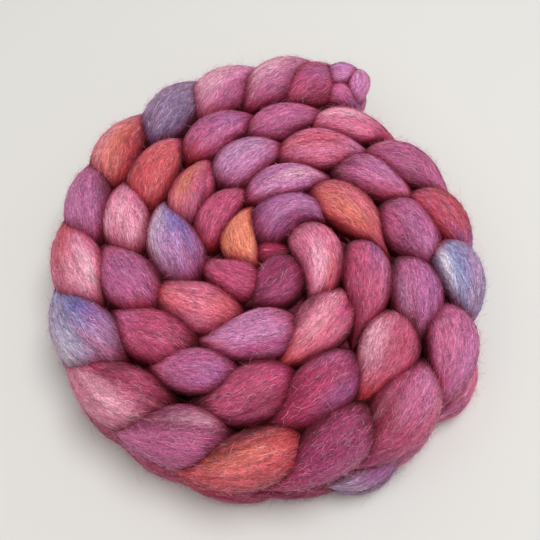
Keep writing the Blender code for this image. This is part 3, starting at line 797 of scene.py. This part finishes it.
def sphere_grid(rings, sides):
    """Along and turn of each point of a capped grid, the two tips and then the rings, and its faces."""
    angles = np.linspace(0.0, math.pi, rings + 1)[1:-1]
    along, turn = np.meshgrid(-np.cos(angles), np.linspace(0.0, math.tau, sides, endpoint=False),
                              indexing="ij")
    along = np.concatenate(((-1.0, 1.0), along.ravel()))
    turn = np.concatenate(((0.0, 0.0), turn.ravel()))
    quads = []
    tips = []
    for side in range(sides):
        after = (side + 1) % sides
        for ring in range(rings - 2):
            here = 2 + ring * sides
            quads.append((here + side, here + after, here + sides + after, here + sides + side))
        last = 2 + (rings - 2) * sides
        tips.append((0, 2 + after, 2 + side))
        tips.append((1, last + side, last + after))
    return along, turn, quads + tips


def faces_behind(faces, base, turned):
    """The faces for points that follow base others, turned over or not."""
    return [tuple(base + corner for corner in face)[::-1 if turned else 1] for face in faces]


def wool_piece(name, points, faces, dyes_and_painted_light, fibre, material):
    """A mesh of wool in place of the solid. fibre is where each point lies in the grain, or None."""
    mesh = bpy.data.meshes.new(name)
    mesh.from_pydata(points.tolist(), [], faces)
    # The colour attribute holds the dye with painted shade and highlights, and in alpha the share of light
    # that the painted shade leaves, 1 where none is painted
    dye = mesh.color_attributes.new("dye", "FLOAT_COLOR", "POINT")
    if dyes_and_painted_light.shape[1] == 3:
        dyes_and_painted_light = np.column_stack((dyes_and_painted_light, np.ones(len(dyes_and_painted_light))))
    dye.data.foreach_set("color", dyes_and_painted_light.astype(np.float32).ravel())
    if fibre is not None:
        grain = mesh.attributes.new("fibre", "FLOAT_VECTOR", "POINT")
        grain.data.foreach_set("vector", fibre.astype(np.float32).ravel())
    mesh.shade_smooth()
    mesh.materials.append(material)
    piece = bpy.data.objects.new(name, mesh)
    bpy.context.scene.collection.objects.link(piece)
    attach(piece, BODY)
    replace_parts(piece, CAD_NODE)
    return piece


def folds_piece(name, numbers, lower, sizes, colours, material):
    """The folds of several links as one mesh."""
    along, turn, grid = sphere_grid(*fold_facets(sizes, lower))
    points, faces, dyes_and_painted_light, fibre = [], [], [], []
    for count, link in enumerate(link_rows(numbers)):
        points.append(skin(link, along, turn, lower, sizes))
        faces += faces_behind(grid, count * len(along), not lower)
        dyes_and_painted_light.append(dye_and_painted_light_at(link, along, turn, colours, lower))
        radius = link["width"] / 2.0
        grain_start = link["number"] + (0.5 if lower else 0.0)
        fibre.append(np.column_stack((along * link["length"] / 2.0 + grain_start,
                                      np.cos(turn) * radius, np.sin(turn) * radius)))
    wool_piece(name, np.concatenate(points), faces, np.concatenate(dyes_and_painted_light), np.concatenate(fibre), material)


def inner_loop(link, ball):
    """A smooth inner loop of the chain, made from a ball of points."""
    place, forward, outward = plan_of(link)
    plan = (place + outward * INNER_OFFSET
            + ball[:, :1] * forward * link["length"] * INNER_LENGTH_SHARE
            + ball[:, 1:2] * outward * link["width"] * INNER_WIDTH_SHARE)
    height = (link["top"] - PRESS_DEPTH) / 2.0 + ball[:, 2] * INNER_THICKNESS
    return np.column_stack((plan, height)) + COIL_SHIFT


def middle_disc(along, turn):
    """The felted disc in the middle of the chain, with a round rim."""
    across = np.sqrt(np.clip(1.0 - along * along, 0.0, 1.0)) ** MIDDLE_ROUNDNESS
    height = np.sign(along) * np.abs(along) ** MIDDLE_ROUNDNESS * (MIDDLE_HIGH - MIDDLE_LOW) / 2.0
    return np.column_stack((MIDDLE_RADIUS * across * np.cos(turn), MIDDLE_RADIUS * across * np.sin(turn),
                            height + (MIDDLE_HIGH + MIDDLE_LOW) / 2.0)) + COIL_SHIFT


# ------------------------------------------------------------------ materials

def set_inputs(tree, node, inputs):
    """Set a node's inputs, each to a value or to what another node puts out."""
    for key, value in inputs.items():
        if isinstance(value, bpy.types.NodeSocket):
            tree.links.new(value, node.inputs[key])
        else:
            node.inputs[key].default_value = value


def add_node(tree, kind, inputs, output, **settings):
    """Add a shader node and return one of its outputs."""
    node = tree.nodes.new("ShaderNode" + kind)
    for name, value in settings.items():
        setattr(node, name, value)
    set_inputs(tree, node, inputs)
    return node.outputs[output]


def point_value(tree, name, output):
    """What each point carries under a name."""
    return add_node(tree, "Attribute", {}, output, attribute_name=name)


def dyed_material(name, roughness, gloss, sheen_roughness, shine):
    """A material in the colour of the points, their dye with painted shade, with a sheen that fades where the
    painted shade leaves little light.
    """
    material = bpy.data.materials.new(name)
    material.use_nodes = True
    tree = material.node_tree
    light = point_value(tree, "dye", "Alpha")
    set_inputs(tree, tree.nodes["Principled BSDF"], {
        "Base Color": point_value(tree, "dye", "Color"),
        "Roughness": roughness,
        "Specular IOR Level": gloss,
        "Sheen Roughness": sheen_roughness,
        "Sheen Tint": SHEEN_TINT,
        "Sheen Weight": add_node(tree, "Math", {0: light, 1: shine}, "Value", operation="MULTIPLY"),
    })
    return material


def wool_material(name, shine, depth):
    """Combed wool: fine fibres along the fold, brighter and darker, with painted glints among them and a soft
    sheen.
    """
    material = dyed_material(name, roughness=0.62, gloss=0.15, sheen_roughness=0.40, shine=shine)
    tree = material.node_tree
    fibre = point_value(tree, "fibre", "Vector")
    colour = point_value(tree, "dye", "Color")
    raised = []
    for grain in rows_of(GRAIN_COLUMNS, GRAINS):
        stretched = add_node(tree, "Mapping", {
            "Vector": fibre, "Location": [grain["offset"]] * 3,
            "Scale": (grain["along"], grain["across"], grain["across"])}, "Vector")
        noise = add_node(tree, "TexNoise", {
            "Vector": stretched, "Scale": 1.0, "Detail": grain["detail"],
            "Roughness": NOISE_ROUGHNESS, "Distortion": grain["bend"]}, "Fac")
        light = add_node(tree, "MapRange", {
            "Value": noise, "From Min": grain["low"], "From Max": grain["high"],
            "To Min": grain["dark"], "To Max": grain["bright"]}, "Result")
        grey = add_node(tree, "CombineColor", {"Red": light, "Green": light, "Blue": light}, "Color")
        colour = add_node(tree, "Mix", {"Factor": 1.0, "A": colour, "B": grey}, "Result",
                          data_type="RGBA", blend_type="MULTIPLY")
        if grain["name"] in RAISED_GRAINS:
            raised.append(noise)
    height = add_node(tree, "Math", dict(enumerate(raised)), "Value", operation="ADD")
    normal = add_node(tree, "Bump", {
        "Strength": BUMP_STRENGTH, "Distance": depth, "Height": height}, "Normal")
    set_inputs(tree, tree.nodes["Principled BSDF"], {"Base Color": colour, "Normal": normal})
    return material


def single_fibre_material():
    """Single fibres, smoother than the folds."""
    return dyed_material("single wool fibres", roughness=0.38, gloss=0.40, sheen_roughness=0.45,
                         shine=FIBRE_SHINE)


# ------------------------------------------------------------------ fibres

def wool_surface():
    """Everything that is wool so far, to see what lies open to the air."""
    points, faces = [], []
    for piece in bpy.context.scene.objects:
        if piece.type == "MESH" and "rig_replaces" in piece and not piece.get("single_fibres"):
            base = len(points)
            points.extend(tuple(point.co) for point in piece.data.vertices)
            faces.extend(tuple(base + corner for corner in face.vertices) for face in piece.data.polygons)
    return BVHTree.FromPolygons(points, faces)


def lies_open(surface, place, outward):
    """True if no other fold covers the place: a ray straight out meets no wool from within."""
    hit, normal, _, _ = surface.ray_cast(place + outward * RAY_START, outward, RAY_REACH)
    return hit is None or normal.dot(outward) < 0.0


def open_places(draw, link, lower, density, surface, sizes, turns=ALL_TURNS):
    """Random places on a fold that lie open to the air, spread evenly over it."""
    area = FOLD_AREA_SHARE * math.pi * link["width"] * link["length"] * (turns[1] - turns[0]) / 360.0
    wanted = int(density * area)
    steps = np.linspace(-PLACE_ENDS, PLACE_ENDS, PLACE_STEPS)
    share = np.cumsum(taper(link, steps))
    along = np.interp(draw.uniform(0.0, share[-1], wanted), share, steps)
    turn = draw.uniform(math.radians(turns[0]), math.radians(turns[1]), wanted)
    places, outward = skin_and_outward(link, along, turn, lower, sizes)
    keep = np.array([lies_open(surface, Vector(place), Vector(out)) and place[2] > PLACE_HEIGHT
                     for place, out in zip(places, outward)], bool)
    return along[keep], turn[keep]


def fibre_dyes_and_painted_light(link, along, turn, lower, light, white, sizes, colours):
    """Dyes of fibres that start at places on a fold, brighter and whiter than the fold, partly as painted
    light, and with the painted shade of the fold there.
    """
    colour = np.clip(dye_and_painted_light_at(link, along, turn, colours, lower) * light, 0.0, 1.0)
    return shaded(mixed(colour, colours["blush"], white),
                  openness_at(link["number"], lower, along, turn), sizes)


def lying_on(draw, link, lower, density, surface, sizes, colours):
    """Fibres that lie on a fold, along it with a little slant, each dipping in at both ends."""
    along, turn = open_places(draw, link, lower, density, surface, sizes)
    count = len(along)
    length = sizes.fibre_length * draw.uniform(*LYING_LENGTHS, count)
    slant = draw.normal(0.0, LYING_SLANT, count)
    wild = draw.uniform(0.0, 1.0, count) < WILD_SHARE
    slant = np.where(wild, draw.uniform(-WILD_SLANT, WILD_SLANT, count), slant)
    length = np.where(wild, length * WILD_LENGTH, length)
    curl = draw.normal(0.0, LYING_CURL, count)
    share = np.linspace(-0.5, 0.5, LYING_PLACES)[None]
    heading = slant[:, None] + curl[:, None] * share
    half_length = link["length"] / 2.0
    radius = np.maximum(link["width"] / 2.0 * taper(link, along), LYING_LEAST_RADIUS)[:, None]
    fibre_along = along[:, None] + share * length[:, None] * np.cos(heading) / half_length
    fibre_along = np.clip(fibre_along, -LYING_ENDS, LYING_ENDS)
    fibre_turn = turn[:, None] + share * length[:, None] * np.sin(heading) / radius
    arch = 1.0 - (2.0 * share) ** 2
    lift = draw.uniform(*LYING_LIFTS, count)[:, None] * sizes.fibre_lift
    lift = np.where(wild[:, None], lift * WILD_LIFT, lift)
    lines, outward = skin_and_outward(link, fibre_along, fibre_turn, lower, sizes,
                                      -LYING_DIP + arch * (lift + LYING_DIP))
    thick = sizes.fibre_thickness / 2.0 * draw.uniform(*LYING_WIDTHS, count)
    radii = thick[:, None] * np.ones((1, LYING_PLACES))
    darkest, form, scale = LYING_LIGHT
    light = (darkest + draw.gamma(form, scale, count))[:, None]
    white = (draw.uniform(0.0, 1.0, count) < WHITE_SHARE)[:, None] * WHITENESS
    return lines, radii, outward, fibre_dyes_and_painted_light(link, along, turn, lower, light, white, sizes, colours)


def loose_on(draw, link, lower, kind, surface, sizes, colours):
    """Fine loose fibres that stand off a fold and curl back."""
    density = getattr(sizes, kind["name"] + "_per_cm2") * CM2_IN_M2
    turns = RIM_TURNS if kind["rim"] else ALL_TURNS
    along, turn = open_places(draw, link, lower, density, surface, sizes, turns)
    count = len(along)
    start, outward = skin_and_outward(link, along, turn, lower, sizes)
    ahead = unit(skin(link, np.clip(along + AHEAD_STEP, -1, 1), turn, lower, sizes) - start)
    across = np.cross(outward, ahead)
    heading = draw.normal(0.0, LOOSE_HEADING, count)[:, None]
    lying = (ahead * np.cos(heading) + across * np.sin(heading)) * draw.choice((-1.0, 1.0), count)[:, None]
    rise = kind["rise"] * draw.uniform(*LOOSE_RISES, count)[:, None]
    length = getattr(sizes, kind["name"] + "_length")
    length = length * np.exp(draw.normal(0.0, LOOSE_LENGTH_SPREAD, count))[:, None]
    bend = draw.normal(0.0, LOOSE_BEND, count)[:, None]
    share = np.linspace(0.0, 1.0, kind["places"])[None, :, None]
    curl_back = 1.0 - kind["curl"] * share
    path = (lying[:, None] * length[:, None] * share
            + outward[:, None] * (length * rise)[:, None] * share * curl_back * LOOSE_REACH_OUT
            + np.cross(lying, outward)[:, None] * (length * bend)[:, None] * share * share
            * LOOSE_REACH_ASIDE)
    lines = start[:, None] - outward[:, None] * LOOSE_ROOT + path
    thick = getattr(sizes, kind["name"] + "_thickness") / 2.0 * draw.uniform(*LOOSE_WIDTHS, count)
    radii = thick[:, None] * np.linspace(*LOOSE_TAPER, kind["places"])[None]
    white = draw.uniform(LOOSE_LEAST_PALE, kind["pale"], count)[:, None]
    dyes_and_painted_light = fibre_dyes_and_painted_light(link, along, turn, lower, LOOSE_LIGHT, white, sizes, colours)
    return lines, radii, np.repeat(outward[:, None], kind["places"], axis=1), dyes_and_painted_light


def tubes(lines, radii, outward):
    """Tapered tubes along lines of shape (fibres, places, 3), one side facing outward."""
    fibres, places, _ = lines.shape
    ahead = unit(np.gradient(lines, axis=1))
    side = unit(np.cross(ahead, outward))
    up = np.cross(side, ahead)
    rings = []
    for corner in range(TUBE_CORNERS):
        angle = math.tau * (corner / TUBE_CORNERS - 0.25)
        rings.append(lines + (side * math.cos(angle) + up * math.sin(angle)) * radii[..., None])
    inner = np.stack(rings, axis=2)[:, 1:-1]
    per_fibre = 2 + (places - 2) * TUBE_CORNERS
    points = np.concatenate((lines[:, :1], lines[:, -1:], inner.reshape(fibres, -1, 3)), axis=1)
    pattern = []
    last = 2 + (places - 3) * TUBE_CORNERS
    for corner in range(TUBE_CORNERS):
        after = (corner + 1) % TUBE_CORNERS
        pattern.append((0, 2 + corner, 2 + after))
        for here in range(2, last, TUBE_CORNERS):
            beyond = here + TUBE_CORNERS
            pattern.append((here + corner, beyond + corner, beyond + after, here + after))
        pattern.append((1, last + after, last + corner))
    faces = [tuple(base + corner for corner in face)
             for base in range(0, fibres * per_fibre, per_fibre) for face in pattern]
    return points.reshape(-1, 3), faces, per_fibre


def fibres_piece(name, bundles, material):
    """Many single fibres as one mesh, from bundles of lines, radii, outward directions and dyes with painted
    shade.
    """
    lines, radii, outward, dyes_and_painted_light = (np.concatenate(part) for part in zip(*bundles))
    points, faces, per_fibre = tubes(lines, radii, outward)
    points[:, 2] = np.maximum(points[:, 2], 0.0)
    piece = wool_piece(name, points, faces, np.repeat(dyes_and_painted_light, per_fibre, axis=0), None, material)
    piece.data.shade_flat()
    piece["single_fibres"] = True


# ------------------------------------------------------------------ settings

DYE_DEFAULTS = {
    "rose": (0.69, 0.28, 0.42),
    "raspberry": (0.61, 0.18, 0.33),
    "wine": (0.36, 0.06, 0.12),
    "brick": (0.68, 0.20, 0.24),
    "coral": (0.78, 0.35, 0.38),
    "orange": (0.86, 0.50, 0.40),
    "pink": (0.80, 0.43, 0.56),
    "blush": (0.94, 0.72, 0.79),
    "cream": (0.93, 0.90, 0.92),
    "magenta": (0.66, 0.20, 0.42),
    "mauve": (0.69, 0.35, 0.52),
    "plum": (0.56, 0.20, 0.36),
    "violet": (0.61, 0.36, 0.56),
    "lilac": (0.75, 0.47, 0.65),
    "slate": (0.62, 0.52, 0.63),
    "sky": (0.58, 0.59, 0.73),
    "royal": (0.34, 0.36, 0.63),
    "dusk": (0.42, 0.31, 0.48),
}


class RovingSizes(PropertyGroup):
    """Real sizes of the wool's relief and fibres."""

    fold_sides: IntProperty(
        name="Fold sides", description="Facets round an upper fold", default=38, min=12)
    fold_rings: IntProperty(
        name="Fold rings", description="Facets along an upper fold", default=36, min=12)
    lump_depth: FloatProperty(
        name="Lump depth", description="How uneven the folds are", default=0.0006, unit="LENGTH")
    lock_depth: FloatProperty(
        name="Lock depth", description="Depth of the grooves between locks", default=0.0002, unit="LENGTH")
    strand_depth: FloatProperty(
        name="Strand depth", description="Height of the fine strands", default=0.00006, unit="LENGTH")
    # Shade start, shade end and shade depth set the shade painted into the dye in crevices
    shade_start: FloatProperty(
        name="Shade start", description="Openness at which the dye is darkest", default=0.46)
    shade_end: FloatProperty(
        name="Shade end", description="Openness at which the dye keeps its own colour", default=0.95)
    shade_depth: FloatProperty(
        name="Shade depth", description="Share of its light that the dye keeps in crevices", default=0.12)
    bump_depth: FloatProperty(
        name="Fibre relief", description="Depth of the finest fibre relief", default=0.00008, unit="LENGTH")
    fibre_length: FloatProperty(
        name="Fibre length", description="Length of the fibres that lie on the folds", default=0.0065,
        unit="LENGTH")
    fibre_thickness: FloatProperty(
        name="Fibre thickness", description="Thickness of a small bundle of fibres", default=0.00019,
        unit="LENGTH")
    fibre_lift: FloatProperty(
        name="Fibre lift", description="How far lying fibres rise off the fold", default=0.00026,
        unit="LENGTH")
    fibres_per_cm2: FloatProperty(
        name="Fibres per square centimetre", description="On the upper folds", default=93.0)
    flyaway_length: FloatProperty(
        name="Flyaway length", description="Length of the loose fibres", default=0.006, unit="LENGTH")
    flyaway_thickness: FloatProperty(
        name="Flyaway thickness", description="Thickness of the loose fibres", default=0.00007, unit="LENGTH")
    flyaway_per_cm2: FloatProperty(
        name="Flyaways per square centimetre",
        description="On the upper folds and the outer turn's lower ones", default=0.8)
    fuzz_length: FloatProperty(
        name="Fuzz length", description="Length of the short fibres that stand off", default=0.0034,
        unit="LENGTH")
    fuzz_thickness: FloatProperty(
        name="Fuzz thickness", description="Thickness of a tuft of fuzz", default=0.00011, unit="LENGTH")
    fuzz_per_cm2: FloatProperty(
        name="Fuzz per square centimetre",
        description="On the upper folds and the outer turn's lower ones", default=11.0)
    halo_length: FloatProperty(
        name="Halo length", description="Length of the fibres that blur the coil's rim", default=0.0031,
        unit="LENGTH")
    halo_thickness: FloatProperty(
        name="Halo thickness", description="Thickness of a fibre at the rim", default=0.00011, unit="LENGTH")
    halo_per_cm2: FloatProperty(
        name="Halo per square centimetre", description="On the outer side of the outer turn", default=58.0)


def dye_property(name):
    return FloatVectorProperty(
        name=name.capitalize(), description=f"The {name} dye", default=DYE_DEFAULTS[name], size=3,
        min=0.0, max=1.0, subtype="COLOR_GAMMA")


class RovingDyes(PropertyGroup):
    """Colours of the dyes."""

    __annotations__ = {name: dye_property(name) for name in DYE_DEFAULTS}


class RovingStudio(PropertyGroup):
    """The plain studio."""

    key_power: FloatProperty(
        name="Key light", description="Power of the large soft light", default=6.5, unit="POWER")
    fill_power: FloatProperty(
        name="Fill light", description="Power of the soft light from the front", default=0.8, unit="POWER")
    sky_strength: FloatProperty(
        name="Room light", description="Strength of the even light of the room", default=0.53)
    floor_colour: FloatVectorProperty(
        name="Floor", description="Colour of the floor", default=(0.86, 0.856, 0.845), size=3,
        min=0.0, max=1.0, subtype="COLOR_GAMMA")


def settings():
    scene = bpy.context.scene
    return scene.roving_sizes, dye_colours(scene.roving_dyes)


# ------------------------------------------------------------------ operators

def make_folds(material_name, wanted_lower):
    """Make the pieces of upper folds, or that of the lower folds."""
    sizes, colours = settings()
    wool = wool_material(material_name, WOOL_SHINE, sizes.bump_depth)
    for name, numbers, lower in FOLD_PIECES:
        if lower == wanted_lower:
            folds_piece(name, numbers, lower, sizes, colours, wool)


class ROVING_OT_upper_folds(Operator):
    """Make the upper folds of the chain, which show from above"""

    bl_idname = "roving.upper_folds"
    bl_label = "Upper folds"

    def execute(self, context):
        make_folds("combed wool", False)
        return {"FINISHED"}


class ROVING_OT_lower_folds(Operator):
    """Make the lower folds of the chain, pressed flat where they rest"""

    bl_idname = "roving.lower_folds"
    bl_label = "Lower folds"

    def execute(self, context):
        make_folds("combed wool below", True)
        return {"FINISHED"}


class ROVING_OT_felted_middle(Operator):
    """Make the inner loops and the felted wool between the folds, in dark dyes that are painted shade where
    it shows
    """

    bl_idname = "roving.felted_middle"
    bl_label = "Felted middle"

    def execute(self, context):
        sizes, colours = settings()
        along, turn, grid = sphere_grid(INNER_RINGS, INNER_SIDES)
        across = np.sqrt(np.clip(1.0 - along * along, 0.0, 1.0))
        ball = np.column_stack((along, across * np.cos(turn), across * np.sin(turn)))
        points, faces = [], []
        for count, link in enumerate(link_rows(set(ALL_LINKS) - set(END_WRAPS))):
            points.append(inner_loop(link, ball))
            faces += faces_behind(grid, count * len(ball), True)
        base = len(points) * len(ball)
        along, turn, grid = sphere_grid(MIDDLE_RINGS, MIDDLE_SIDES)
        points.append(middle_disc(along, turn))
        faces += faces_behind(grid, base, False)
        points = np.concatenate(points)
        felt = uneven("felt", 0, points[:, 0] * FELT_PACE, np.arctan2(points[:, 1], points[:, 0]))
        share = 0.5 + 0.5 * np.clip(felt, -1.0, 1.0)[:, None]
        # Dark wine and darkened plum: painted shade, as this wool only shows deep between the folds
        dyes_and_painted_light = mixed(colours["wine"], colours["plum"] * MIDDLE_PLUM, share)
        wool_piece("felted_middle", points, faces, dyes_and_painted_light, points,
                   wool_material("felted wool", FELT_SHINE, sizes.bump_depth))
        return {"FINISHED"}


class ROVING_OT_deep_shade(Operator):
    """Paint shade into the dye where the folds press together"""

    bl_idname = "roving.deep_shade"
    bl_label = "Shade between the folds"

    def execute(self, context):
        sizes, _ = settings()
        surface = wool_surface()
        OPENNESS.clear()
        for link in link_rows(ALL_LINKS):
            number = link["number"]
            OPENNESS[number, False] = openness_map(link, False, surface, sizes)
            OPENNESS[number, True] = (
                openness_map(link, True, surface, sizes) if number in OUTER_TURN
                else np.full((OPEN_RINGS, OPEN_SIDES + 1), HIDDEN_OPENNESS))
        for name, numbers, lower in FOLD_PIECES:
            shade_piece(name, numbers, lower, sizes)
        return {"FINISHED"}


class ROVING_OT_lying_fibres(Operator):
    """Lay single fibres on the folds"""

    bl_idname = "roving.lying_fibres"
    bl_label = "Lying fibres"

    def execute(self, context):
        sizes, colours = settings()
        material = single_fibre_material()
        surface = wool_surface()
        for name, seed, numbers, lower, share in FIBRE_PIECES:
            draw = np.random.default_rng(seed)
            density = sizes.fibres_per_cm2 * CM2_IN_M2 * share
            bundles = [lying_on(draw, link, lower, density, surface, sizes, colours)
                       for link in link_rows(numbers)]
            fibres_piece(name, bundles, material)
        return {"FINISHED"}


class ROVING_OT_flyaway_fibres(Operator):
    """Let fine loose fibres stand off the folds"""

    bl_idname = "roving.flyaway_fibres"
    bl_label = "Flyaway fibres"

    def execute(self, context):
        sizes, colours = settings()
        material = single_fibre_material()
        surface = wool_surface()
        for kind in rows_of(LOOSE_COLUMNS, LOOSE_KINDS):
            bundles = []
            for lower in (False, True):
                draw = np.random.default_rng(kind["seed"] + lower)
                numbers = OUTER_TURN if lower or kind["rim"] else ALL_LINKS
                bundles += [loose_on(draw, link, lower, kind, surface, sizes, colours)
                            for link in link_rows(numbers)]
            fibres_piece(kind["name"] + "_fibres", bundles, material)
        return {"FINISHED"}


class ROVING_OT_studio(Operator):
    """Make the pale floor, the soft lights and the camera"""

    bl_idname = "roving.studio"
    bl_label = "Plain studio"

    def execute(self, context):
        studio = context.scene.roving_studio
        half = FLOOR_SIZE / 2.0
        mesh = bpy.data.meshes.new("floor")
        mesh.from_pydata([(-half, -half, 0.0), (half, -half, 0.0), (half, half, 0.0), (-half, half, 0.0)],
                         [], [(0, 1, 2, 3)])
        floor = bpy.data.objects.new("floor", mesh)
        context.scene.collection.objects.link(floor)
        floor.location.z = -FLOOR_DROP
        paper = bpy.data.materials.new("pale floor")
        paper.use_nodes = True
        set_inputs(paper.node_tree, paper.node_tree.nodes["Principled BSDF"], {
            "Base Color": (*Color(studio.floor_colour).from_srgb_to_scene_linear(), 1.0),
            "Roughness": FLOOR_ROUGHNESS,
            "Specular IOR Level": FLOOR_GLOSS,
        })
        mesh.materials.append(paper)

        world = bpy.data.worlds.new("room")
        world.use_nodes = True
        set_inputs(world.node_tree, world.node_tree.nodes["Background"],
                   {"Color": ROOM_COLOUR, "Strength": studio.sky_strength})
        context.scene.world = world

        aim = Vector(CAMERA_AIM) + Vector(COIL_SHIFT)
        for name, place, size, power in LAMPS:
            lamp = bpy.data.lights.new(name, "AREA")
            lamp.shape = "DISK"
            lamp.size = size
            lamp.energy = getattr(studio, power)
            light = bpy.data.objects.new(name, lamp)
            context.scene.collection.objects.link(light)
            light.location = place
            light.rotation_euler = (aim - Vector(place)).to_track_quat("-Z", "Y").to_euler()

        elevation = math.radians(CAMERA_ELEVATION)
        back = Vector((0.0, -math.cos(elevation), math.sin(elevation)))
        camera_data = bpy.data.cameras.new("camera")
        camera_data.lens = CAMERA_LENS
        camera_data.sensor_width = CAMERA_SENSOR
        camera_data.clip_start, camera_data.clip_end = CAMERA_CLIP
        camera = bpy.data.objects.new("camera", camera_data)
        context.scene.collection.objects.link(camera)
        camera.location = aim + back * CAMERA_DISTANCE
        camera.rotation_euler = (-back).to_track_quat("-Z", "Y").to_euler()
        context.scene.camera = camera
        context.scene.view_settings.view_transform = "Standard"
        return {"FINISHED"}


class ROVING_PT_panel(Panel):
    """Lists what the roving is made of"""

    bl_idname = "ROVING_PT_panel"
    bl_label = "Coiled wool roving"
    bl_space_type = "VIEW_3D"
    bl_region_type = "UI"
    bl_category = "Roving"

    def draw(self, context):
        layout = self.layout
        for operator in OPERATORS:
            layout.operator(operator.bl_idname)
        for group in (context.scene.roving_sizes, context.scene.roving_dyes, context.scene.roving_studio):
            box = layout.box()
            for name in group.bl_rna.properties.keys():
                if name not in ("rna_type", "name"):
                    box.prop(group, name)


OPERATORS = (
    ROVING_OT_upper_folds,
    ROVING_OT_lower_folds,
    ROVING_OT_felted_middle,
    ROVING_OT_deep_shade,
    ROVING_OT_lying_fibres,
    ROVING_OT_flyaway_fibres,
    ROVING_OT_studio,
)
GROUPS = (RovingSizes, RovingDyes, RovingStudio)


def register():
    for each in GROUPS + OPERATORS + (ROVING_PT_panel,):
        bpy.utils.register_class(each)
    bpy.types.Scene.roving_sizes = PointerProperty(type=RovingSizes)
    bpy.types.Scene.roving_dyes = PointerProperty(type=RovingDyes)
    bpy.types.Scene.roving_studio = PointerProperty(type=RovingStudio)


def unregister():
    del bpy.types.Scene.roving_studio
    del bpy.types.Scene.roving_dyes
    del bpy.types.Scene.roving_sizes
    for each in reversed(GROUPS + OPERATORS + (ROVING_PT_panel,)):
        bpy.utils.unregister_class(each)


def main():
    register()
    bpy.ops.roving.upper_folds()
    bpy.ops.roving.lower_folds()
    bpy.ops.roving.felted_middle()
    bpy.ops.roving.deep_shade()
    bpy.ops.roving.lying_fibres()
    bpy.ops.roving.flyaway_fibres()
    bpy.ops.roving.studio()


if __name__ == "__main__":
    main()
